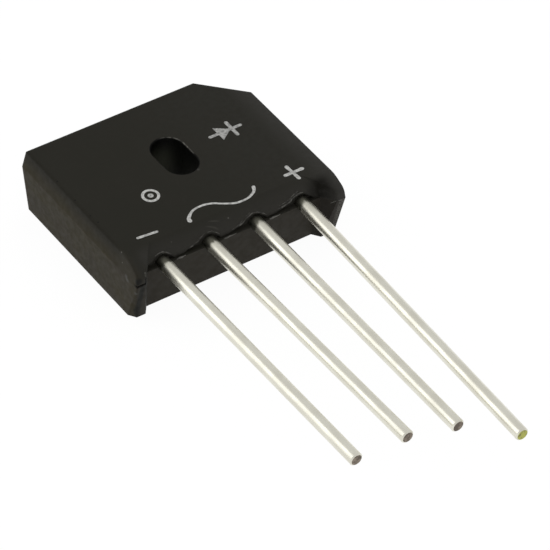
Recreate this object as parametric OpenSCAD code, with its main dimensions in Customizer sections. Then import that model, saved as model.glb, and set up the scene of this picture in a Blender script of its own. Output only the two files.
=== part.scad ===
// Four-lead in-line bridge rectifier: a transfer-moulded case with a bolt slot, four formed
// leads, four diode chips stacked on the two inner leads, and two bus straps to the outer leads.
// Millimetres. The case lies on its back face at z = 0, with the marked face up. The origin is
// the centre of the bolt slot on the back face. X runs along the row of leads, from the minus
// lead to the plus lead, and the leads leave towards -Y.

/* [Moulded case] */
// Width across the leads, at the parting plane
body_w = 22.9; // [21:0.1:26]
// From the slot's centre to the edge away from the leads, at the parting plane
body_top = 8; // [6.5:0.1:10]
// From the slot's centre to the ledge that the leads leave
body_bottom = 9.95; // [9.6:0.05:12]
// Thickness, from the back face to the marked face
body_t = 6.85; // [6.5:0.05:8]
// Height of the parting plane, which is also the lead plane
parting_z = 4.85; // [4.5:0.05:5]
// Leg of the 45 degree corner cut that marks the plus side
corner_cut = 4.1; // [2:0.1:5]
// How far the front half stands back from the ledge
front_setback = 0.2; // [0.1:0.05:0.5]
// Radius of the marked face's edge above the leads
front_edge_r = 1.1; // [0.4:0.05:1.3]
// Radius of the marked face's other edges
face_edge_r = 0.25; // [0.1:0.05:0.4]

/* [Mould draft, degrees] */
// Both sides of the back half
side_draft = 3; // [1:0.5:6]
// Back half's edge away from the leads
top_draft = 9; // [2:0.5:12]
// Back half's edge below the leads
bottom_draft = 6; // [2:0.5:10]
// Sides and far edge of the front half
front_draft = 7.5; // [2:0.5:12]
// Front half's edge above the leads
lead_edge_draft = 15; // [5:1:20]

/* [Standoff feet] */
// How far the feet reach past the ledge
foot_reach = 1.25; // [0.6:0.05:1.6]
// Width of a foot at its tip
foot_w = 0.95; // [0.6:0.05:1.5]
// Angle between a foot's inner flank and the ledge
foot_flank = 52; // [40:1:75]
// Draft of a foot's end face on the back half
foot_draft = 11.5; // [4:0.5:14]
// Slope of a foot's front, down from the marked face
foot_slope = 26; // [20:1:40]
// Radius where the marked face turns into that slope
foot_slope_r = 4; // [2:0.5:5]
// Radius where that slope turns into the end face
foot_tip_r = 1; // [0.4:0.1:1.6]
// Draft of the bevel on the minus foot's outer corner
foot_corner_draft = 14; // [8:0.5:16]

/* [Bolt slot] */
// Width of the slot, across the case
slot_w = 3.3; // [3:0.1:4.2]
// Length of the slot, along the leads
slot_l = 5.4; // [5:0.1:6]
// Chamfer around the slot's mouth on the marked face
slot_chamfer = 0.1; // [0.05:0.01:0.3]

/* [Leads] */
// Wire diameter
lead_d = 1.3; // [1:0.05:1.4]
// Spacing of the leads
lead_pitch = 5.08; // [4.8:0.02:5.3]
// Length of the minus lead past the ledge
lead_l = 29.1; // [20:0.1:36]
// How much longer each lead is than the minus lead, from minus to plus
lead_extra = [0, 0.15, 1.15, 5.2];
// Slight bend of each lead where it leaves the case, in degrees
lead_bend = [0.6, 1.1, 0.72, -1.7];
// Direction of that bend: 0 is sideways towards the plus side, and 90 is down
bend_dir = [0, 0, 59, 0];
// Distance from the ledge to that bend
bend_out = 0.25; // [0.1:0.05:0.6]
// Chamfer on the cut tip
tip_chamfer = 0.12; // [0.05:0.01:0.3]

/* [Paddles inside the case] */
// Thickness of a flattened lead end
paddle_t = 0.5; // [0.3:0.05:0.8]
// Width of a flattened lead end
paddle_w = 2.8; // [2.5:0.1:3.2]
// Length of a flattened lead end
paddle_l = 3; // [2.6:0.1:3.4]
// Corner radius of a flattened lead end
paddle_r = 0.4; // [0.1:0.05:0.6]
// Length of the coined neck between wire and paddle
neck_l = 0.9; // [0.6:0.1:1]
// Resin between the slot and the paddles
slot_wall = 1.5; // [1.2:0.1:1.6]

/* [Chips, solder and straps] */
// Side of a square diode chip
chip_w = 2.4; // [2:0.05:2.5]
// Thickness of a diode chip
chip_t = 0.25; // [0.2:0.01:0.3]
// Thickness of a solder joint
solder_t = 0.06; // [0.03:0.01:0.08]
// Side of a square solder joint
solder_w = 1.6; // [1.2:0.05:1.8]
// Thickness of a bus strap
strap_t = 0.4; // [0.25:0.05:0.45]
// Width of a bus strap
strap_w = 1.8; // [1.8:0.05:2.3]
// Length of the pad that a strap lands on its lead with
strap_land = 1.9; // [1.8:0.1:2.4]

/* [Resin edge around the leads] */
// Depth of the pocket in the front half around each lead
pocket_d = 0.4; // [0.2:0.05:0.6]
// Height of the pocket's lip above the parting plane
pocket_h = 0.95; // [0.8:0.05:1.1]
// Height of the groove where the mould halves met
groove_h = 0.14; // [0.05:0.01:0.2]
// Depth of that groove, behind the front half and around the minus foot
groove_d = 0.2; // [0.1:0.05:0.3]

/* [Hidden] */
$fn = 48;
// Larger than the whole part, for cutting blocks
big = 60;
// Overlap that keeps cuts and joins clean
eps = 0.01;
// Share of its radius to which a rounded edge's arc is drawn
arc_past = 1.001;
lead_count = 4;
half_w = body_w / 2;
front_t = body_t - parting_z;
foot_tip = body_bottom + foot_reach;
front_bottom = body_bottom - front_setback;
// Where the front half's edge above the leads would meet the marked face
front_edge = front_bottom - front_t * tan(lead_edge_draft);
// Distance from the origin to the corner cut, along its own direction
cut_dist = (half_w + body_top - corner_cut) / sqrt(2);
// Direction of the bevel on the minus foot's outer corner, from -X towards -Y
foot_corner_dir = 36;
foot_corner_dist = half_w * cos(foot_corner_dir) + foot_tip * sin(foot_corner_dir);
knee_y = -(body_bottom + bend_out);
paddle_end = -(slot_l / 2 + slot_wall);
chip_y = paddle_end - paddle_l / 2;
neck_y = paddle_end - paddle_l - neck_l;
inner_x = lead_pitch / 2;
outer_x = lead_pitch * 3 / 2;
// Heights above the lead plane of the layers stacked on a paddle
land_z = paddle_t / 2 + solder_t;
strap_z = land_z + chip_t + solder_t;
// Lip of a pocket, from the plus side of its lead to the minus side: distance from the lead's
// axis towards +X, and height as a share of pocket_h
LIP = [
    [1.5, 0], [1.3, 0.08], [1.1, 0.2], [0.85, 0.44], [0.55, 0.68], [0.2, 0.92],
    [-0.25, 1], [-0.6, 0.92], [-1.05, 0.74], [-1.25, 0.56], [-1.7, 0.44], [-2.15, 0.33],
    [-2.75, 0.2], [-3.4, 0.08], [-3.8, 0]
];
// Sides of the lead plane on which the strap and the chips lie
UPPER = 1;
LOWER = -1;

function lead_x(i) = (i - (lead_count - 1) / 2) * lead_pitch;

// --- Case -------------------------------------------------------------------

// The corner that a radius takes off, where edges leave the point at directions a1 and a2. The
// arc reaches past both edges by a hair, so that it crosses them instead of only touching them.
module corner_waste(at, a1, a2, r) {
    half = (a2 - a1) / 2;
    run = r / tan(half);
    inward = [cos(a1 + half), sin(a1 + half)];
    mid = r / sin(half) * inward;
    translate(at)
        difference() {
            polygon([
                -r * inward,
                run * [cos(a1), sin(a1)],
                mid,
                run * [cos(a2), sin(a2)]
            ]);
            translate(mid)
                circle(r * arc_past);
        }
}

// A solid bounded by one wall: a profile in (outward, up) swept sideways, facing direction dir
module wall(dir) {
    rotate([0, 0, dir])
        rotate([90, 0, 0])
            linear_extrude(height = 2 * big, center = true)
                children();
}

// Profile of a plain side: back draft below the parting plane, front draft above it, and a
// rounded edge to the marked face
module side_profile(dist, back_draft) {
    edge = dist - front_t * tan(front_draft);
    difference() {
        polygon([
            [-big, 0],
            [dist - parting_z * tan(back_draft), 0],
            [dist, parting_z],
            [edge, body_t],
            [-big, body_t]
        ]);
        corner_waste([edge, body_t], 180, 270 + front_draft, face_edge_r);
    }
}

// Profile of the lead side: drafted back half, ledge, then the front half with a rounded edge
module lead_side_profile() {
    difference() {
        polygon([
            [-big, 0],
            [body_bottom - parting_z * tan(bottom_draft), 0],
            [body_bottom, parting_z],
            [front_bottom, parting_z],
            [front_edge, body_t],
            [-big, body_t]
        ]);
        corner_waste([front_edge, body_t], 180, 270 + lead_edge_draft, front_edge_r);
    }
}

// Profile of a foot: drafted end face, rounded tip, and the slope up to the marked face
module foot_profile() {
    // the slope starts at the marked face's edge and meets the drafted front of the tip here
    rise = (foot_tip - front_edge) * tan(foot_slope);
    lean = tan(front_draft);
    tip_drop = (rise - front_t * lean * tan(foot_slope)) / (1 - lean * tan(foot_slope));
    tip_z = body_t - tip_drop;
    tip_r = foot_tip - (tip_z - parting_z) * lean;
    difference() {
        polygon([
            [-big, 0],
            [foot_tip - parting_z * tan(foot_draft), 0],
            [foot_tip, parting_z],
            [tip_r, tip_z],
            [front_edge, body_t],
            [-big, body_t]
        ]);
        corner_waste([front_edge, body_t], 180, 360 - foot_slope, foot_slope_r);
        corner_waste([tip_r, tip_z], 180 - foot_slope, 270 + front_draft, foot_tip_r);
    }
}

// Everything inside the two sides
module between_sides() {
    intersection() {
        wall(0)
            side_profile(half_w, side_draft);
        wall(180)
            side_profile(half_w, side_draft);
    }
}

// The case without feet, slot or contents
module case_block() {
    intersection() {
        between_sides();
        wall(90)
            side_profile(body_top, top_draft);
        wall(45)
            side_profile(cut_dist, side_draft);
        wall(-90)
            lead_side_profile();
    }
}

// Outline of the foot on the minus side, whose inner flank runs back into the case
module foot_outline() {
    root = 3;
    polygon([
        [-half_w, -foot_tip],
        [-half_w + foot_w, -foot_tip],
        [-half_w + foot_w + (foot_reach + root) / tan(foot_flank), -foot_tip + foot_reach + root],
        [-half_w, -foot_tip + foot_reach + root]
    ]);
}

// The foot on the minus side
module foot() {
    intersection() {
        between_sides();
        linear_extrude(height = body_t)
            foot_outline();
        wall(-90)
            foot_profile();
    }
}

// The minus foot's outer corner is bevelled, and the plus foot's isn't
module bevelled_foot() {
    intersection() {
        foot();
        wall(180 + foot_corner_dir)
            side_profile(foot_corner_dist, foot_corner_draft);
    }
}

// A round-ended slot, centred on the origin
module slot_outline(w) {
    straight = slot_l - slot_w;
    square([w, straight], center = true);
    for (end = [-1, 1])
        translate([0, end * straight / 2])
            circle(d = w);
}

// The bolt slot, right through the case, with its chamfered mouth
module bolt_slot() {
    straight = slot_l - slot_w;
    mouth_z = body_t - slot_chamfer;
    translate([0, 0, -eps])
        linear_extrude(height = body_t + 2 * eps)
            slot_outline(slot_w);
    for (end = [-1, 1])
        translate([0, end * straight / 2, mouth_z])
            cylinder(h = slot_chamfer + eps, r1 = slot_w / 2, r2 = slot_w / 2 + slot_chamfer + eps);
    translate([0, straight / 2, mouth_z])
        rotate([90, 0, 0])
            linear_extrude(height = straight)
                polygon([
                    [-slot_w / 2, 0],
                    [slot_w / 2, 0],
                    [slot_w / 2 + slot_chamfer + eps, slot_chamfer + eps],
                    [-slot_w / 2 - slot_chamfer - eps, slot_chamfer + eps]
                ]);
}

// The pocket that the resin's edge leaves around a lead: steep on its plus side, and running
// out slowly on its minus side
module lead_pocket(i) {
    translate([lead_x(i), -front_bottom + pocket_d, parting_z])
        rotate([90, 0, 0])
            linear_extrude(height = big)
                polygon([for (point = LIP) [point[0], point[1] * pocket_h]]);
}

// What the front half lacks on the lead side: the pockets, and the groove where the mould
// halves met, from the minus side to the plus lead. Both stop just inside the feet.
module lead_side_cuts() {
    difference() {
        union() {
            for (i = [0 : lead_count - 1])
                lead_pocket(i);
            translate([-big, -big, parting_z])
                cube([big + lead_x(lead_count - 1), big - front_bottom + groove_d, groove_h]);
        }
        for (side = [0, 1])
            mirror([side, 0, 0])
                translate([-groove_d * tan(foot_flank / 2), groove_d, 0])
                    linear_extrude(height = body_t)
                        foot_outline();
    }
}

// Everything that the resin was moulded around
module contents() {
    for (i = [0 : lead_count - 1])
        lead(i);
    bus_strap(UPPER);
    bus_strap(LOWER);
    for (side = [UPPER, LOWER])
        for (x = [-inner_x, inner_x]) {
            chip(x, side);
            chip_solder(x, side, land_z - solder_t);
            chip_solder(x, side, strap_z - solder_t);
        }
    for (side = [UPPER, LOWER])
        land_solder(side);
}

module moulded_body() {
    color("#2b2a27")
        difference() {
            union() {
                case_block();
                bevelled_foot();
                mirror([1, 0, 0])
                    foot();
            }
            bolt_slot();
            lead_side_cuts();
            contents();
        }
}

// --- Leads ------------------------------------------------------------------

// A rectangle with rounded corners
module paddle_outline() {
    square([paddle_w, paddle_l - 2 * paddle_r], center = true);
    square([paddle_w - 2 * paddle_r, paddle_l], center = true);
    for (sx = [-1, 1])
        for (sy = [-1, 1])
            translate([sx * (paddle_w / 2 - paddle_r), sy * (paddle_l / 2 - paddle_r)])
                circle(paddle_r);
}

// The round part of a lead, from its bend at the origin: coined neck and straight wire in the
// resin towards +Y, free wire and cut tip towards -Y
module round_wire(bend, free_len) {
    embedded_len = neck_y - knee_y;
    rotate([-90, 0, 0])
        cylinder(h = embedded_len, d = lead_d);
    translate([0, embedded_len, 0])
        rotate([-90, 0, 0])
            cylinder(h = neck_l + paddle_r, d1 = lead_d, d2 = paddle_t);
    sphere(d = lead_d);
    rotate([90, 0, bend]) {
        cylinder(h = free_len - tip_chamfer, d = lead_d);
        translate([0, 0, free_len - tip_chamfer])
            cylinder(h = tip_chamfer, d1 = lead_d, d2 = lead_d - 2 * tip_chamfer);
    }
}

// One formed lead: a flat paddle, and the round wire turned so that it bends the right way
module lead(i) {
    translate([lead_x(i), 0, parting_z]) {
        translate([0, chip_y, -paddle_t / 2])
            linear_extrude(height = paddle_t)
                paddle_outline();
        translate([0, knee_y, 0])
            rotate([0, bend_dir[i], 0])
                round_wire(lead_bend[i], lead_l + lead_extra[i] - bend_out);
    }
}

module formed_lead(i) {
    color("#c9c5b8")
        lead(i);
}

// --- Straps, chips and solder -------------------------------------------------

// A formed strap above (or below) the lead plane. It covers both chips on that side and steps
// down onto the outer lead: the minus lead above, the plus lead below.
module bus_strap(side) {
    step = strap_z - land_z;
    bend = strap_t * tan(22.5);
    land_from = -outer_x - strap_land / 2;
    land_to = -outer_x + strap_land / 2;
    far = inner_x + chip_w / 2;
    translate([0, chip_y, parting_z])
        rotate([0, side == UPPER ? 0 : 180, 0])
            rotate([90, 0, 0])
                linear_extrude(height = strap_w, center = true)
                    polygon([
                        [land_from, land_z],
                        [land_to, land_z],
                        [land_to + step, strap_z],
                        [far, strap_z],
                        [far, strap_z + strap_t],
                        [land_to + step - bend, strap_z + strap_t],
                        [land_to - bend, land_z + strap_t],
                        [land_from, land_z + strap_t]
                    ]);
}

// A flat square layer at the given height on one side of the lead plane
module layer(x, side, from_z, w, t) {
    z = side == UPPER ? from_z : -from_z - t;
    translate([x - w / 2, chip_y - w / 2, parting_z + z])
        cube([w, w, t]);
}

module chip(x, side) {
    layer(x, side, land_z, chip_w, chip_t);
}

module chip_solder(x, side, from_z) {
    layer(x, side, from_z, solder_w, solder_t);
}

module land_solder(side) {
    layer(-side * outer_x, side, land_z - solder_t, solder_w, solder_t);
}

module strap_piece(side) {
    color("#b87345")
        bus_strap(side);
}

module chip_piece(x, side) {
    color("#5d6470")
        chip(x, side);
}

// Solder between a chip and its lead's paddle
module paddle_solder_piece(x, side) {
    color("#9a9ca0")
        chip_solder(x, side, land_z - solder_t);
}

// Solder between a chip and its strap
module strap_solder_piece(x, side) {
    color("#9a9ca0")
        chip_solder(x, side, strap_z - solder_t);
}

module land_solder_piece(side) {
    color("#9a9ca0")
        land_solder(side);
}

// --- Nodes --------------------------------------------------------------------

moulded_body();
formed_lead(0);  // lead_minus
formed_lead(1);  // lead_ac_left
formed_lead(2);  // lead_ac_right
formed_lead(3);  // lead_plus
strap_piece(UPPER);  // minus_strap
strap_piece(LOWER);  // plus_strap
chip_piece(-inner_x, UPPER);  // chip_minus_left
chip_piece(inner_x, UPPER);  // chip_minus_right
chip_piece(-inner_x, LOWER);  // chip_plus_left
chip_piece(inner_x, LOWER);  // chip_plus_right
strap_solder_piece(-inner_x, UPPER);  // solder_minus_strap_left
strap_solder_piece(inner_x, UPPER);  // solder_minus_strap_right
strap_solder_piece(-inner_x, LOWER);  // solder_plus_strap_left
strap_solder_piece(inner_x, LOWER);  // solder_plus_strap_right
paddle_solder_piece(-inner_x, UPPER);  // solder_upper_paddle_left
paddle_solder_piece(inner_x, UPPER);  // solder_upper_paddle_right
paddle_solder_piece(-inner_x, LOWER);  // solder_lower_paddle_left
paddle_solder_piece(inner_x, LOWER);  // solder_lower_paddle_right
land_solder_piece(UPPER);  // solder_minus_lead
land_solder_piece(LOWER);  // solder_plus_lead
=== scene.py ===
"""Looks of a four-lead bridge rectifier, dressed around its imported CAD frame.

Blender units are metres, in the frame of the part: the origin is the centre of the bolt slot
on the back face, +Z points out of the marked face, and the leads leave towards -Y.
"""

import math

import bmesh
import bpy
from mathutils import Matrix, Vector, noise


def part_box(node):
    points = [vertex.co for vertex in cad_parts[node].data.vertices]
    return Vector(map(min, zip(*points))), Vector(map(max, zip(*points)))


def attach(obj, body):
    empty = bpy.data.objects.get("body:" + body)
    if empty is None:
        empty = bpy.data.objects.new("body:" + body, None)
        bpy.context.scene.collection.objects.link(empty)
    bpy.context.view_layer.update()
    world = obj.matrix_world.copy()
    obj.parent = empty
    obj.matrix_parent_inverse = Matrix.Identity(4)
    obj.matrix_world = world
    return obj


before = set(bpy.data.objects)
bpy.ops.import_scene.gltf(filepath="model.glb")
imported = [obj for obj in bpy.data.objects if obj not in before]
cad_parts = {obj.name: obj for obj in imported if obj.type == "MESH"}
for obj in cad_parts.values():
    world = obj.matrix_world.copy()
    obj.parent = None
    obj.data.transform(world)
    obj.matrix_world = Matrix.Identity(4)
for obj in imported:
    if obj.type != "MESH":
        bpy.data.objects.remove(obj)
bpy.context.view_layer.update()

MM = 0.001
MARKED_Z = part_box("moulded_body")[1].z

# Millimetres, as in the part's source. The slot's half sizes reach 0.02 past its chamfered mouth.
PARTING_Z = 4.85
LEDGE_Y = -9.95
LEAD_PITCH = 5.08
SLOT_HALF_W = 1.77
SLOT_HALF_L = 2.82


# --- Small helpers -----------------------------------------------------------

def spot(x, y, z):
    """A point given in millimetres."""
    return Vector((x, y, z)) * MM


def mesh_from(shape, name):
    """The mesh of a finished bmesh, which is freed."""
    mesh = bpy.data.meshes.new(name)
    shape.to_mesh(mesh)
    shape.free()
    return mesh


def add_object(name, data):
    """A new object in the scene."""
    made = bpy.data.objects.new(name, data)
    bpy.context.scene.collection.objects.link(made)
    return made


def add_piece(name, mesh, material):
    """A new visible piece that rides on the part."""
    piece = add_object(name, mesh)
    mesh.materials.append(material)
    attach(piece, "root")


class Nodes:
    """A short way to write a node tree."""

    def __init__(self, tree):
        self.tree = tree
        tree.nodes.clear()

    def add(self, kind, settings=None, **inputs):
        """Adds a node. An input is a value, or an output socket to link.

        Inputs go by name with _ for a space, or by number, such as i0 for the first.
        """
        made = self.tree.nodes.new(kind)
        for key, value in (settings or {}).items():
            setattr(made, key, value)
        for key, value in inputs.items():
            numbered = key[0] == "i" and key[1:].isdigit()
            self.feed(made.inputs[int(key[1:]) if numbered else key.replace("_", " ")], value)
        return made

    def feed(self, socket, value):
        """Links an output socket to an input, or writes a value on it."""
        if isinstance(value, bpy.types.NodeSocket):
            self.tree.links.new(value, socket)
        else:
            socket.default_value = value

    def math(self, operation, a, b):
        return self.add("ShaderNodeMath", {"operation": operation}, i0=a, i1=b).outputs[0]

    def ramp(self, value, low, high, to_low=0.0, to_high=1.0):
        """A smooth, clamped change of range."""
        settings = {"interpolation_type": "SMOOTHSTEP", "clamp": True}
        made = self.add("ShaderNodeMapRange", settings, Value=value)
        for key, number in zip(("From Min", "From Max", "To Min", "To Max"), (low, high, to_low, to_high)):
            made.inputs[key].default_value = number
        return made.outputs[0]

    def fall(self, value, low, high):
        """One below low, falling to nothing above high."""
        return self.ramp(value, low, high, 1.0, 0.0)

    def mix(self, factor, a, b):
        """Mixes two colours."""
        made = self.add("ShaderNodeMix", {"data_type": "RGBA"})
        for index, value in ((0, factor), (6, a), (7, b)):
            self.feed(made.inputs[index], value)
        return made.outputs[2]

    def cover(self, under, tone, mask, strength):
        """Lays a tone over a colour where the mask is, up to a strength."""
        return self.mix(self.math("MULTIPLY", mask, strength), under, tone)

    def product(self, *values):
        """Multiplies any number of values."""
        total = values[0]
        for value in values[1:]:
            total = self.math("MULTIPLY", total, value)
        return total

    def band(self, value, low, high, soft):
        """One between low and high, falling to nothing over a soft edge on each side."""
        rise = self.ramp(value, low - soft, low + soft)
        return self.product(rise, self.fall(value, high - soft, high + soft))

    def distance(self, operation, **points):
        """The distance between two points, or the length of one."""
        return self.add("ShaderNodeVectorMath", {"operation": operation}, **points).outputs["Value"]

    def near(self, point, place, radius):
        """One at a place given in millimetres, falling to nothing at the radius."""
        return self.fall(self.distance("DISTANCE", i0=point, i1=place), 0.4 * radius, radius)

    def streak(self, point, place, angle, length, width):
        """One along a thin line through a place on the marked face, turned by an angle in degrees from +X."""
        local = self.add(
            "ShaderNodeMapping", {"vector_type": "TEXTURE"}, Vector=point, Location=place,
            Rotation=(0, 0, math.radians(angle)), Scale=(length / 2, width / 2, 3.0),
        )
        return self.fall(self.distance("LENGTH", i0=local.outputs[0]), 0.3, 1.0)

    def noise(self, point, scale, detail=3.0, roughness=0.55):
        made = self.add("ShaderNodeTexNoise", Vector=point, Scale=scale, Detail=detail, Roughness=roughness)
        return made.outputs[0]

    def bump(self, height, strength, depth, **normal):
        """A normal made uneven by a height, up to a depth in millimetres."""
        made = self.add("ShaderNodeBump", Strength=strength, Distance=depth * MM, Height=height, **normal)
        return made.outputs[0]

    def millimetres(self, stretch=(1, 1, 1)):
        """The point in the part's frame, in millimetres, times a stretch for each axis."""
        place = self.add("ShaderNodeTexCoord").outputs["Object"]
        return self.add("ShaderNodeMapping", Vector=place, Scale=[s / MM for s in stretch]).outputs[0]

    def split(self, vector):
        return self.add("ShaderNodeSeparateXYZ", Vector=vector).outputs


def new_material(name):
    material = bpy.data.materials.new(name)
    material.use_nodes = True
    return material, Nodes(material.node_tree)


def surface(n, colour, roughness, bump=None, metallic=0.0, **constants):
    """A Principled surface with an output. Constants go straight on the shader's sockets."""
    shader = n.add("ShaderNodeBsdfPrincipled", Base_Color=colour, Roughness=roughness)
    shader.inputs["Metallic"].default_value = metallic
    for key, value in constants.items():
        shader.inputs[key.replace("_", " ")].default_value = value
    if bump is not None:
        n.tree.links.new(bump, shader.inputs["Normal"])
    n.add("ShaderNodeOutputMaterial", Surface=shader.outputs[0])


# --- Materials ---------------------------------------------------------------

# Specks on the resin: place in millimetres, radius, and how pale it is. Grit is pale and a pit is dark.
GRIT = 0.10
PIT = 0.004
SPECKS = [
    ((-6.5, -9.14, 6.4), 0.13, GRIT),
    ((-0.33, -9.2, 6.4), 0.11, GRIT),
    ((-11.2, -8.2, 6.7), 0.10, GRIT),
    ((-11.3, -8.57, 5.8), 0.09, GRIT),
    ((6.28, -9.44, 6.6), 0.09, GRIT),
    # A painted highlight on the slot's rim, at its end towards the leads
    ((0.78, -2.72, 6.85), 0.20, 0.04),
    ((-11.05, 2.7, 6.8), 0.13, PIT),
    ((-11.05, -0.33, 6.8), 0.11, PIT),
    ((-11.0, -2.8, 6.8), 0.12, PIT),
    ((-10.9, -3.9, 6.8), 0.14, PIT),
]

# Wear and painted shade on the minus foot, given as specks: a dark patch, a dark hook of painted shade in
# the crease over the parting groove, a pale nick above the hook, and pale rubs on the side and at the end
FOOT_WEAR_AND_SHADE = [
    ((-11.20, -11.10, 5.35), 0.50, 0.012),
    ((-10.47, -11.13, 4.98), 0.22, PIT),
    ((-10.45, -11.12, 5.18), 0.19, PIT),
    ((-10.45, -11.10, 5.38), 0.16, PIT),
    ((-10.43, -11.03, 5.72), 0.17, 0.055),
    ((-10.42, -10.93, 5.93), 0.14, 0.07),
    ((-11.43, -9.60, 4.50), 0.30, 0.055),
    ((-11.45, -9.42, 4.85), 0.27, 0.05),
    ((-11.34, -10.88, 3.85), 0.24, 0.05),
]

# Faint scratches on the slope to the leads: middle, angle from +X, length and width
SCRATCHES = [
    ((-1.8, -9.05, 6.7), -16, 1.5, 0.14),
    ((-2.1, -9.35, 6.6), -15, 1.9, 0.12),
    ((-2.3, -9.6, 6.4), -12, 1.2, 0.12),
]

# Linear colours of the resin, of what lies on it, and of the painted shade and highlights on it
TONES = {
    "minus_half": (0.0160, 0.0153, 0.0105, 1),
    "plus_half": (0.0212, 0.0203, 0.0160, 1),
    "mottle": (0.0200, 0.0190, 0.0145, 1),
    "warm_cloud": (0.0200, 0.0180, 0.0135, 1),
    "lead_slope_light": (0.0298, 0.0285, 0.0245, 1),
    "pale_plus_edge": (0.0400, 0.0385, 0.0345, 1),
    "shade": (0.0090, 0.0082, 0.0045, 1),
    # Dust on the minus side, in two tones
    "side_tones": (0.0240, 0.0190, 0.0065, 1),
    "pale_dust": (0.0255, 0.0205, 0.0110, 1),
    "minus_rim_highlight": (0.0300, 0.0265, 0.0180, 1),
    "lead_side": (0.0235, 0.0195, 0.0130, 1),
    "plus_foot_shade": (0.0035, 0.0030, 0.0015, 1),
    "dark_green_strip": (0.0015, 0.0022, 0.0002, 1),
    "stain": (0.0085, 0.0055, 0.0030, 1),
    "notch_shade": (0.0030, 0.0018, 0.0008, 1),
    "chip": (0.1000, 0.0950, 0.0850, 1),
    "slot_wall": (0.0010, 0.0010, 0.0006, 1),
    "slot_bounce_light": (0.0750, 0.0780, 0.0560, 1),
    "slot_rim_highlight": (0.1300, 0.1260, 0.1100, 1),
    "scratch": (0.0420, 0.0400, 0.0340, 1),
    "filler": (0.0350, 0.0330, 0.0270, 1),
}


def warm_grey(shade, blue=0.86):
    """A grey with a little less blue, as a linear colour."""
    return (shade, shade * 0.97, shade * blue, 1)


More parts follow.
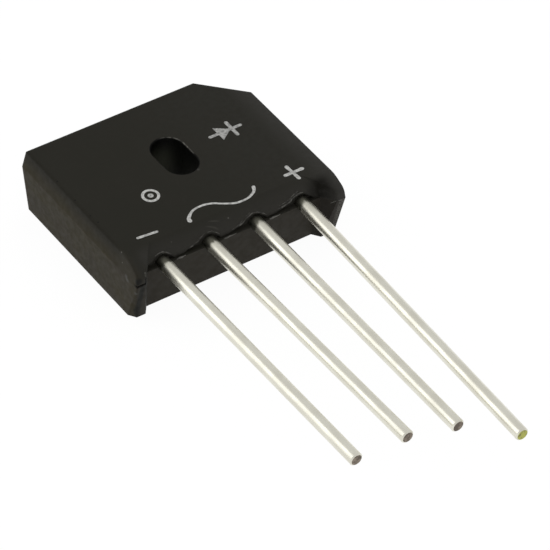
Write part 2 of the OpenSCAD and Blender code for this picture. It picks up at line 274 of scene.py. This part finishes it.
class Resin:
    """Patterns on the moulded body. Each mask runs from nothing to one, and places are in millimetres.

    The layers below take a colour and give it back with something laid over it.
    """

    def __init__(self, n):
        self.n = n
        self.point = n.millimetres()
        self.x, self.y, self.z = n.split(self.point)
        self.broad = n.noise(self.point, 0.35, 2.0)
        self.cloud = n.noise(self.point, 1.6, 4.0)
        self.grain = n.noise(self.point, 14.0, 3.0)
        self.front_half = n.ramp(self.z, 4.8, 5.0)
        self.back_half = n.fall(self.z, 4.7, 4.9)
        self.minus_end = n.fall(self.x, -10.6, -9.6)
        self.normal = self.rounded_edges()
        facing = n.split(self.normal)
        self.facing_minus = n.math("MULTIPLY", facing[0], -1.0)
        self.facing_leads = n.math("MULTIPLY", facing[1], -1.0)

    def rounded_edges(self):
        """A normal with soft edges, softest on the slope to the leads and along the minus side."""
        n = self.n
        slope = n.product(n.fall(self.y, -9.4, -8.0), self.front_half)
        widened = n.math("ADD", n.math("MULTIPLY", slope, 0.26), n.math("MULTIPLY", self.minus_end, 0.20))
        radius = n.math("MULTIPLY", n.math("ADD", 0.14, widened), MM)
        return n.add("ShaderNodeBevel", {"samples": 10}, Radius=radius).outputs[0]

    def plain(self):
        """The resin itself, warmer towards the plus side, with painted light on the slope to the leads, and
        paler towards the plus edge.
        """
        n, x, y, z, cloud = self.n, self.x, self.y, self.z, self.cloud
        colour = n.mix(n.ramp(x, -5.0, 11.0), TONES["minus_half"], TONES["plus_half"])
        colour = n.mix(n.ramp(cloud, 0.35, 0.7, 0.0, 0.5), colour, TONES["mottle"])
        colour = n.mix(n.ramp(self.broad, 0.35, 0.7, 0.0, 0.3), colour, TONES["warm_cloud"])
        # Painted light on the slope down to the leads.
        lead_slope_light = n.product(n.fall(y, -9.9, -8.1), self.front_half, n.ramp(x, -10.6, -9.6, 0.45, 1.0))
        colour = n.mix(lead_slope_light, colour, TONES["lead_slope_light"])
        uneven = n.ramp(cloud, 0.3, 0.7, 0.5, 1.0)
        # Paler towards the plus edge, most of all high up.
        pale_plus_edge = n.product(n.ramp(x, 8.6, 11.4), n.ramp(z, 4.7, 6.8, 0.5, 1.0), uneven)
        return n.mix(pale_plus_edge, colour, TONES["pale_plus_edge"])

    def side_tones(self, colour):
        """Dust low down on the minus side under a band of painted shade, a painted highlight along the minus
        foot's rim, and a paler, warmer tone on the back half's face towards the leads.
        """
        n, x, y, z = self.n, self.x, self.y, self.z
        side = n.product(n.ramp(self.facing_minus, 0.2, 0.95), self.minus_end)
        # Painted shade: the minus side darker high up, away from the leads.
        upper = n.product(side, n.ramp(z, 5.2, 6.7), n.ramp(y, -8.6, -6.8), 0.85)
        colour = n.mix(upper, colour, TONES["shade"])
        streaks = n.noise(n.millimetres((1, 0.5, 1.6)), 0.9, 4.0, 0.65)
        lower = n.product(side, n.fall(z, 4.7, 6.9), n.ramp(streaks, 0.3, 0.75, 0.7, 1.0))
        tint = n.mix(n.ramp(self.broad, 0.35, 0.65), TONES["side_tones"], TONES["pale_dust"])
        colour = n.mix(lower, colour, tint)
        # Painted highlight along the minus foot's rounded edge, between its slope and its side.
        rim = n.product(n.fall(x, -11.4, -10.6), n.fall(y, -9.5, -7.0), self.front_half)
        colour = n.cover(colour, TONES["minus_rim_highlight"], rim, 0.6)
        lead_side = n.product(n.ramp(self.facing_leads, 0.7, 0.95), self.back_half)
        return n.cover(colour, TONES["lead_side"], lead_side, 0.7)

    def foot_marks_and_shade(self, colour):
        """Painted shade by the plus foot, a stain and chips there, and on the minus foot a dark greenish
        strip and painted shade in the parting groove.
        """
        n, x, y, z = self.n, self.x, self.y, self.z
        uneven = n.ramp(self.cloud, 0.2, 0.5, 0.6, 1.0)
        by_plus_foot = n.product(n.band(x, 8.5, 10.3, 0.8), n.band(y, -11.6, -9.3, 0.6))
        # Painted shade in the hollow between the plus lead and the plus foot.
        plus_foot_shade = n.product(by_plus_foot, n.ramp(z, 4.7, 5.0), uneven)
        foot_end = n.product(n.fall(y, -10.15, -10.05), self.back_half)
        # A dark greenish strip on the minus foot's end, below the parting line.
        dark_green_strip = n.product(foot_end, n.fall(x, -10.7, -10.3), n.ramp(x, -11.15, -10.95))
        stain = n.product(n.fall(y, -9.9, -9.7), self.back_half, n.ramp(x, 8.0, 9.2))
        # Painted shade along the groove at the parting line on the minus foot.
        notch_shade = n.product(self.minus_end, n.fall(y, -10.9, -10.6), n.band(z, 4.70, 4.95, 0.08))
        chip = n.product(foot_end, n.ramp(x, 10.6, 10.9), n.ramp(self.grain, 0.42, 0.60))
        colour = n.cover(colour, TONES["plus_foot_shade"], plus_foot_shade, 0.95)
        colour = n.cover(colour, TONES["dark_green_strip"], dark_green_strip, 0.9)
        colour = n.cover(colour, TONES["stain"], stain, 0.65)
        colour = n.cover(colour, TONES["notch_shade"], notch_shade, 0.9)
        return n.mix(chip, colour, TONES["chip"])

    def slot_wall(self, colour):
        """The slot's wall, with painted shade just under its rim, painted bounce light deeper down towards
        the minus side, and a painted highlight on its rim on the plus side, away from the leads.
        """
        n, x, y, z = self.n, self.x, self.y, self.z
        across = n.band(x, -SLOT_HALF_W, SLOT_HALF_W, 0.02)
        along = n.band(y, -SLOT_HALF_L, SLOT_HALF_L, 0.02)
        inside = n.product(across, along, n.fall(z, 6.845, 6.849))
        # Painted bounce light from the floor, deep in the slot.
        deep = n.product(n.fall(z, 3.4, 6.4), n.ramp(x, 0.6, 1.66, 1.0, 0.15))
        wall = n.mix(deep, TONES["slot_wall"], TONES["slot_bounce_light"])
        # Painted highlight on the chamfered rim, broken up by noise.
        patchy = n.ramp(n.noise(self.point, 3.0, 2.0), 0.35, 0.6, 0.2, 1.0)
        rim = n.product(n.ramp(z, 6.76, 6.79), n.ramp(x, -0.4, 1.6), n.ramp(y, -0.8, -0.2), patchy)
        wall = n.mix(rim, wall, TONES["slot_rim_highlight"])
        return n.mix(inside, colour, wall)

    def small_marks(self, colour):
        """Scratches, pale grains of filler, specks with one painted highlight on the slot's rim, and the wear
        and painted shade on the minus foot.
        """
        n, point = self.n, self.point
        for place, angle, length, width in SCRATCHES:
            colour = n.mix(n.streak(point, place, angle, length, width), colour, TONES["scratch"])
        colour = n.mix(n.ramp(self.grain, 0.66, 0.74, 0.0, 0.3), colour, TONES["filler"])
        for place, radius, shade in SPECKS + FOOT_WEAR_AND_SHADE:
            colour = n.mix(n.near(point, place, radius), colour, warm_grey(shade))
        return colour


def moulding_compound():
    """Black filled epoxy with fine grain and soft edges, the marks of moulding and of being handled, and
    painted shade and highlights.
    """
    material, n = new_material("moulding_compound")
    resin = Resin(n)
    colour = resin.plain()
    for layer in (resin.side_tones, resin.foot_marks_and_shade, resin.slot_wall, resin.small_marks):
        colour = layer(colour)
    roughness = n.ramp(resin.cloud, 0.3, 0.7, 0.50, 0.62)
    height = n.math("ADD", n.math("MULTIPLY", resin.grain, 0.5), n.math("MULTIPLY", resin.cloud, 0.5))
    bump = n.bump(height, 0.35, 0.012, Normal=resin.normal)
    surface(n, colour, roughness, bump, Specular_IOR_Level=0.10)
    return material


def broken_flash(name, dark, pale):
    """The paler, rougher resin of a thin edge, between a dark and a pale grey."""
    material, n = new_material(name)
    chips = n.noise(n.millimetres(), 3.0, 4.0)
    colour = n.mix(n.ramp(chips, 0.35, 0.65), warm_grey(dark), warm_grey(pale, 0.88))
    surface(n, colour, n.ramp(chips, 0.3, 0.7, 0.45, 0.65), Specular_IOR_Level=0.2)
    return material


# Linear colours of the plated wire and of its cut tips
WIRE_TONES = {
    "bright": (0.77, 0.755, 0.665, 1),
    "blotch": (0.71, 0.69, 0.60, 1),
    "near_resin": (0.36, 0.35, 0.29, 1),
    "film": (0.15, 0.148, 0.118, 1),
    "cut_dark": (0.11, 0.09, 0.07, 1),
    "cut_pale": (0.24, 0.20, 0.16, 1),
    "cut_stain": (0.40, 0.41, 0.10, 1),
}


def plated_wire():
    """Warm silver plating on drawn wire, dull where it leaves the resin and faintly greyed near it as a
    painted reflection of the resin, brown on the cut tips.

    The plus lead's tip has a yellow-green stain as well.
    """
    material, n = new_material("plated_wire")
    point = n.millimetres()
    across, along, _ = n.split(point)
    facing = n.split(n.add("ShaderNodeNewGeometry").outputs["Normal"])[1]
    cut = n.noise(point, 2.6, 3.0)
    drawn = n.noise(n.millimetres((5.0, 0.12, 5.0)), 1.6, 4.0)
    blotch = n.noise(n.millimetres((1.0, 0.35, 1.0)), 1.1, 3.0)
    uneven_along = n.math("ADD", along, n.ramp(blotch, 0.3, 0.7, -0.25, 0.25))
    film = n.ramp(uneven_along, LEDGE_Y - 0.65, LEDGE_Y - 0.20)
    near_resin = n.ramp(along, LEDGE_Y - 4.0, LEDGE_Y)
    tip = n.ramp(n.math("MULTIPLY", facing, -1.0), 0.75, 0.95)
    plating = n.mix(n.ramp(blotch, 0.35, 0.7), WIRE_TONES["bright"], WIRE_TONES["blotch"])
    # Painted reflection of the dark resin, faint, on the wire near the body.
    greyed = n.cover(plating, WIRE_TONES["near_resin"], near_resin, 0.10)
    filmed = n.mix(film, greyed, WIRE_TONES["film"])
    bare = n.mix(n.ramp(cut, 0.4, 0.65), WIRE_TONES["cut_dark"], WIRE_TONES["cut_pale"])
    on_plus_lead = n.ramp(across, 5.0, 6.0)
    stained = n.mix(n.product(on_plus_lead, n.ramp(cut, 0.35, 0.5)), bare, WIRE_TONES["cut_stain"])
    colour = n.mix(tip, filmed, stained)
    sheen = n.math("ADD", n.ramp(blotch, 0.3, 0.7, 0.27, 0.36), n.math("MULTIPLY", near_resin, 0.12))
    surface(n, colour, sheen, n.bump(drawn, 0.15, 0.01), metallic=1.0)
    return material


def bare_metal(name, colour_a, colour_b, roughness_low, roughness_high):
    """A plain metal with faint blotches, for the hidden pieces."""
    material, n = new_material(name)
    blotch = n.noise(n.millimetres(), 1.5, 3.0)
    colour = n.mix(n.ramp(blotch, 0.3, 0.7), colour_a, colour_b)
    surface(n, colour, n.ramp(blotch, 0.3, 0.7, roughness_low, roughness_high), metallic=1.0)
    return material


def polished_silicon():
    """Dark grey silicon with a faint haze, for the hidden chips."""
    material, n = new_material("polished_silicon")
    haze = n.noise(n.millimetres(), 2.5, 3.0)
    colour = n.mix(n.ramp(haze, 0.3, 0.7), (0.10, 0.12, 0.16, 1), (0.14, 0.16, 0.20, 1))
    surface(n, colour, n.ramp(haze, 0.3, 0.7, 0.15, 0.25), metallic=0.6)
    return material


def printing_ink(name, thin, thick):
    """Light grey ink, uneven where the resin's grain shows through, in a thin and a thick coat's tones."""
    material, n = new_material(name)
    patch = n.noise(n.millimetres(), 4.0, 4.0)
    thin_coat, thick_coat = ((tone, tone, tone * 0.96, 1) for tone in (thin, thick))
    colour = n.mix(n.ramp(patch, 0.35, 0.62), thin_coat, thick_coat)
    surface(n, colour, n.ramp(patch, 0.3, 0.7, 0.6, 0.75), Specular_IOR_Level=0.3)
    return material


def dress_cad_nodes():
    """Puts a material on every CAD node."""
    finishes = {
        "moulded_body": moulding_compound(),
        "lead_": plated_wire(),
        "minus_strap": bare_metal("bare_copper", (0.62, 0.29, 0.16, 1), (0.52, 0.23, 0.12, 1), 0.3, 0.45),
        "chip_": polished_silicon(),
        "solder_": bare_metal("soft_solder", (0.36, 0.37, 0.38, 1), (0.28, 0.29, 0.30, 1), 0.35, 0.5),
    }
    finishes["plus_strap"] = finishes["minus_strap"]
    for name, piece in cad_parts.items():
        material = next(m for start, m in finishes.items() if name.startswith(start))
        piece.data.materials.clear()
        piece.data.materials.append(material)


# --- Printed marks -----------------------------------------------------------

INK_T = 0.01
LAYER_STEP = 0.25  # how much higher each layer of a mark lies, as a share of the ink's thickness

# Strokes of the polarity marks, as points of x, y and width in millimetres
MINUS = [(-9.02, -7.54, 0.30), (-8.0, -7.64, 0.26), (-7.1, -7.73, 0.28)]
WAVE = [
    (-3.78, -8.12, 0.42), (-3.62, -7.72, 0.34), (-2.77, -7.10, 0.22), (-1.63, -6.98, 0.24),
    (-0.68, -7.25, 0.23), (0.0, -7.72, 0.22), (0.95, -8.24, 0.24), (1.6, -8.37, 0.24),
    (2.49, -8.32, 0.24), (3.38, -7.89, 0.26), (3.72, -7.36, 0.38),
]
PLUS_UPRIGHT = [(7.86, -6.70, 0.37), (7.91, -7.6, 0.32), (7.96, -8.53, 0.37)]
PLUS_ACROSS = [(7.08, -7.61, 0.37), (8.0, -7.62, 0.32), (8.95, -7.63, 0.37)]

# The plain symbols: middle of each in x and y, and their sizes in millimetres
RING_AT = (-4.9, -3.4)
RING_RADII = (0.60, 0.87)
DOT_RADII = (0.04, 0.27)
DIODE_AT = (5.9, 0.4)
DIODE_REACH = 1.7
DIODE_RISE = 0.95


def catmull_rom(p, q, r, s, t):
    """A number between q and r on the smooth curve p, q, r, s."""
    squared = (2 * p - 5 * q + 4 * r - s) * t * t
    cubed = (3 * q - p - 3 * r + s) * t ** 3
    return 0.5 * (2 * q + (r - p) * t + squared + cubed)


def smooth_path(points, steps=8):
    """A Catmull-Rom curve through points of any number of coordinates."""
    ends = [points[0], *points, points[-1]]
    path = []
    for a, b, c, d in zip(ends, ends[1:], ends[2:], ends[3:]):
        for step in range(steps):
            path.append([catmull_rom(*four, step / steps) for four in zip(a, b, c, d)])
    path.append(list(points[-1]))
    return path


def stroke_outline(points, cap_steps=6):
    """The outline of a round-ended stroke along (x, y, width) points, slightly uneven."""
    path = smooth_path(points) if len(points) > 2 else [list(p) for p in points]
    left, right = [], []
    for i, (x, y, width) in enumerate(path):
        ahead = path[min(i + 1, len(path) - 1)]
        behind = path[max(i - 1, 0)]
        run = Vector((ahead[0] - behind[0], ahead[1] - behind[1])).normalized()
        side = Vector((-run.y, run.x))
        uneven = 1 + 0.12 * noise.noise(Vector((x * 4, y * 4, 3.1)))
        left.append(Vector((x, y)) + side * width / 2 * uneven)
        right.append(Vector((x, y)) - side * width / 2 * uneven)

    def cap(a, b):
        """Points of a half circle from a to b, bulging to the right of a to b."""
        middle, arm = (a + b) / 2, (a - b) / 2
        turned = [Matrix.Rotation(-math.pi * k / cap_steps, 2) @ arm for k in range(1, cap_steps)]
        return [middle + t for t in turned]

    return left + cap(left[-1], right[-1]) + right[::-1] + cap(right[0], left[0])


def ring_patches(middle, radii, steps=32):
    """The small four-sided patches that make a ring between two radii."""
    angles = [2 * math.pi * k / steps for k in range(steps + 1)]
    spokes = [Vector((math.cos(angle), math.sin(angle))) for angle in angles]
    centre = Vector(middle)
    inner, outer = radii
    return [
        [centre + outer * a, centre + outer * b, centre + inner * b, centre + inner * a]
        for a, b in zip(spokes, spokes[1:])
    ]


def ink_mark(name, layers, material):
    """A thin printed piece on the marked face.

    Each layer is a list of patches, and lies a little higher than the one before.
    """
    shape = bmesh.new()
    for number, patches in enumerate(layers):
        top = MARKED_Z + INK_T * (1 + LAYER_STEP * number) * MM
        faces = []
        for patch in patches:
            faces.append(shape.faces.new([shape.verts.new((x * MM, y * MM, top)) for x, y in patch]))
        corners = {vert for face in faces for vert in face.verts}
        bmesh.ops.remove_doubles(shape, verts=list(corners), dist=0.001 * MM)
        faces = [face for face in shape.faces if abs(face.calc_center_median().z - top) < 1e-9]
        rim = bmesh.ops.extrude_face_region(shape, geom=faces)
        for vert in [v for v in rim["geom"] if isinstance(v, bmesh.types.BMVert)]:
            vert.co.z = MARKED_Z - INK_T * MM
    bmesh.ops.triangulate(shape, faces=shape.faces[:])
    bmesh.ops.recalc_face_normals(shape, faces=shape.faces[:])
    add_piece(name, mesh_from(shape, name), material)


def diode_strokes():
    """A line, an arrow head and a bar."""
    x, y = DIODE_AT
    line = stroke_outline([(x - DIODE_REACH, y, 0.32), (x + DIODE_REACH, y, 0.32)])
    arrow = [(x - 0.8, y - DIODE_RISE), (x + 0.6, y), (x - 0.8, y + DIODE_RISE)]
    bar = stroke_outline([(x + 0.72, y - DIODE_RISE, 0.36), (x + 0.72, y + DIODE_RISE, 0.36)])
    return line, arrow, bar


def print_marks():
    """Polarity marks, and two plain symbols where a real part carries its maker's and approval marks."""
    ink = printing_ink("printing_ink", 0.34, 0.58)
    worn_ink = printing_ink("worn_ink", 0.22, 0.44)
    ink_mark("mark_minus", [[stroke_outline(MINUS)]], ink)
    ink_mark("mark_alternating", [[stroke_outline(WAVE)]], ink)
    ink_mark("mark_plus", [[stroke_outline(PLUS_UPRIGHT)], [stroke_outline(PLUS_ACROSS)]], ink)
    ink_mark("symbol_ring", [ring_patches(RING_AT, RING_RADII), ring_patches(RING_AT, DOT_RADII)], ink)
    ink_mark("symbol_diode", [[stroke] for stroke in diode_strokes()], worn_ink)


# --- Flash on the resin --------------------------------------------------------

# The lip of the resin over a lead: distance from the lead towards +X, and height over the parting plane
LIP = [
    (-2.75, 0.19), (-2.15, 0.31), (-1.7, 0.42), (-1.25, 0.53), (-1.05, 0.70),
    (-0.6, 0.87), (-0.25, 0.95), (0.2, 0.87), (0.55, 0.65), (0.85, 0.42), (1.15, 0.17),
]
# The front half's wall on the lead side, at the parting plane, and how far it leans for each
# millimetre of height
LIP_WALL_Y = -9.75
LIP_WALL_LEAN = math.tan(math.radians(15))

# Ridges on the lip: lead number, ends as distances from the lead, rise over the lip, and radius
RIDGES = [
    (0, -1.0, 1.15, 0.20, 0.08),
    (1, -2.7, -0.6, 0.14, 0.06),
    (1, -0.8, 1.15, 0.22, 0.06),
    (2, -2.7, 1.15, 0.16, 0.10),
    (2, -1.9, -0.5, 0.36, 0.06),
    (3, -2.75, 0.2, 0.16, 0.11),
    (3, -2.6, -0.3, 0.40, 0.07),
]

# Slivers along the parting line: ends in x, y, height over the parting plane, and radius
SLIVERS = [
    (-6.35, -5.40, LEDGE_Y, 0.02, 0.075),
    (-1.20, 0.15, LEDGE_Y, 0.02, 0.065),
    (3.80, 5.00, LEDGE_Y, 0.02, 0.08),
    (9.80, 10.70, -11.14, 0.02, 0.035),
    (10.60, 11.20, -11.14, -0.06, 0.075),
    (11.10, 11.38, -11.05, 0.05, 0.09),
    (10.70, 11.00, -11.15, -0.40, 0.05),
]


def bead(shape, points, sides=8):
    """Adds a closed, tapering tube along (x, y, z, radius) points in millimetres, a little uneven."""
    rings = []
    for i, (x, y, z, radius) in enumerate(points):
        ahead, behind = points[min(i + 1, len(points) - 1)], points[max(i - 1, 0)]
        run = Vector([a - b for a, b in zip(ahead[:3], behind[:3])]).normalized()
        turn = run.to_track_quat("Z", "Y").to_matrix()
        uneven = radius * (1 + 0.45 * noise.noise(Vector((x * 3, z * 5, 0.7))))
        rings.append([
            shape.verts.new(spot(x, y, z) + turn @ Vector((math.cos(a), math.sin(a), 0)) * uneven * MM)
            for a in (2 * math.pi * k / sides for k in range(sides))
        ])
    for a, b in zip(rings, rings[1:]):
        for k in range(sides):
            shape.faces.new((a[k], a[(k + 1) % sides], b[(k + 1) % sides], b[k]))
    shape.faces.new(rings[0][::-1])
    shape.faces.new(rings[-1])


def finish_beads(name, shape, material):
    """Makes one smooth piece of resin from the beads."""
    bmesh.ops.recalc_face_normals(shape, faces=shape.faces[:])
    for face in shape.faces:
        face.smooth = True
    add_piece(name, mesh_from(shape, name), material)


def ridge_line(lead_x, start, end, rise, radius):
    """Points of a ragged ridge on the lip's wall, a rise over the lip, between two distances from a lead."""
    points = []
    for dx, height in smooth_path(LIP, 6):
        if start <= dx <= end:
            x = lead_x + dx
            wander = noise.noise(Vector((x * 1.3, rise, 5.5)))
            wander += 0.5 * noise.noise(Vector((x * 4.1, rise, 2.5)))
            over = height + rise + 0.08 * wander
            y = LIP_WALL_Y + over * LIP_WALL_LEAN + 0.02
            swell = 0.75 + 1.1 * noise.noise(Vector((x * 1.9, rise, 9.1)))
            taper = min(1.0, 0.25 + (dx - start) / 0.8, 0.25 + (end - dx) / 0.4)
            points.append((x, y, PARTING_Z + over, radius * taper * max(0.3, min(1.3, swell))))
    return points


def sliver_line(start, end, y, over, radius, steps=8):
    """Points of a slightly wavy sliver that is thickest near its middle."""
    points = []
    for k in range(steps + 1):
        share = k / steps
        x = start + (end - start) * share
        thick = radius * (0.35 + 0.65 * math.sin(math.pi * min(1.0, 0.12 + share)))
        points.append((x, y, PARTING_Z + over + 0.02 * math.sin(9 * x), thick))
    return points


def grow_flash():
    """Low ridges over each lip, and slivers of flash along the parting line."""
    ridges = bmesh.new()
    for number, start, end, rise, radius in RIDGES:
        bead(ridges, ridge_line((number - 1.5) * LEAD_PITCH, start, end, rise, radius))
    # The ridges' paler resin is partly a painted highlight along the lip's rounded edge.
    finish_beads("lip_ridge", ridges, broken_flash("lip_flash_and_highlight", 0.024, 0.105))

    slivers = bmesh.new()
    for sliver in SLIVERS:
        bead(slivers, sliver_line(*sliver))
    finish_beads("ledge_flash", slivers, broken_flash("broken_flash", 0.07, 0.15))


# --- Camera, light and floor ---------------------------------------------------

CAMERA_AZIMUTH = math.radians(-37.459)
CAMERA_ELEVATION = math.radians(43.006)
CAMERA_ROLL = math.radians(3.8)
CAMERA_DISTANCE = 356.405
CAMERA_AIM = (1.187, -14.753, 3.0)
SENSOR = 36.0
FOCAL_LENGTH = 258.12
LAMP_AIM = (0, -15, 3)
FLOOR_REACH = 3.0  # metres from its middle to its sides
FLOOR_GAP = 0.02  # between the floor and the back face, in millimetres
FLOOR_GLOW = 1.03  # just over white, so that the floor leaves no grey edge
FLOOR_SHARE = 0.92  # how much of the floor that is seen glows, while the rest shows the shadow


def place_camera():
    """Puts the camera where the aim is seen at the given azimuth, elevation and roll."""
    level = math.cos(CAMERA_ELEVATION)
    back = Vector((
        math.sin(CAMERA_AZIMUTH) * level,
        -math.cos(CAMERA_AZIMUTH) * level,
        math.sin(CAMERA_ELEVATION),
    ))
    right = Vector((math.cos(CAMERA_AZIMUTH), math.sin(CAMERA_AZIMUTH), 0))
    up = back.cross(right)
    tilted_right = right * math.cos(CAMERA_ROLL) + up * math.sin(CAMERA_ROLL)
    tilted_up = up * math.cos(CAMERA_ROLL) - right * math.sin(CAMERA_ROLL)
    data = bpy.data.cameras.new("camera")
    data.sensor_width = SENSOR
    data.lens = FOCAL_LENGTH
    data.clip_start = 0.01
    data.clip_end = 10
    camera = add_object("camera", data)
    turn = Matrix((tilted_right, tilted_up, back)).transposed().to_4x4()
    camera.matrix_world = Matrix.Translation(spot(*CAMERA_AIM) + back * CAMERA_DISTANCE * MM) @ turn
    bpy.context.scene.camera = camera


def soft_box(name, towards, distance, width, height, strength):
    """An area lamp in a direction from the part, facing it, with its distance and sides in millimetres."""
    data = bpy.data.lights.new(name, "AREA")
    data.shape = "RECTANGLE"
    data.size = width * MM
    data.size_y = height * MM
    data.energy = strength * math.pi * data.size * data.size_y
    lamp = add_object(name, data)
    direction = Vector(towards).normalized()
    lamp.location = spot(*LAMP_AIM) + direction * distance * MM
    lamp.rotation_euler = direction.to_track_quat("Z", "Y").to_euler()


def white_seen_directly(n, seen, lit, share):
    """Mixes a white emission over what light makes of a surface, for rays that see it as background."""
    path = n.add("ShaderNodeLightPath").outputs
    mirrored = n.math("MAXIMUM", path["Is Glossy Ray"], path["Is Transmission Ray"])
    looked_at = n.math("MAXIMUM", path["Is Camera Ray"], mirrored)
    factor = n.math("MULTIPLY", looked_at, share)
    return n.add("ShaderNodeMixShader", i0=factor, i1=lit, i2=seen).outputs[0]


def make_floor():
    """A pale floor that reads white and keeps a faint shadow of the part."""
    shape = bmesh.new()
    bmesh.ops.create_grid(shape, x_segments=1, y_segments=1, size=FLOOR_REACH)
    mesh = mesh_from(shape, "floor")
    floor = add_object("floor", mesh)
    floor.location.z = -FLOOR_GAP * MM
    material, n = new_material("floor_paper")
    lit = n.add("ShaderNodeBsdfDiffuse", Color=(0.9, 0.9, 0.9, 1)).outputs[0]
    seen = n.add("ShaderNodeEmission", Color=(1, 1, 1, 1), Strength=FLOOR_GLOW).outputs[0]
    n.add("ShaderNodeOutputMaterial", Surface=white_seen_directly(n, seen, lit, FLOOR_SHARE))
    mesh.materials.append(material)


def make_world():
    """An even pale surround, brighter down at the horizon where the white floor begins."""
    world = bpy.data.worlds.new("studio")
    bpy.context.scene.world = world
    world.use_nodes = True
    n = Nodes(world.node_tree)
    height = n.split(n.add("ShaderNodeTexCoord").outputs["Generated"])[2]
    strength = n.ramp(height, 0.02, 0.22, 1.0, 0.77)
    background = n.add("ShaderNodeBackground", Color=(1, 1, 1, 1), Strength=strength).outputs[0]
    n.add("ShaderNodeOutputWorld", Surface=background)


def light_the_stage():
    make_world()
    make_floor()
    soft_box("key_back_left", (-0.66, 0.58, 0.46), distance=400, width=220, height=340, strength=1.01)


dress_cad_nodes()
print_marks()
grow_flash()
place_camera()
light_the_stage()

view = bpy.context.scene.view_settings
view.view_transform = "Standard"
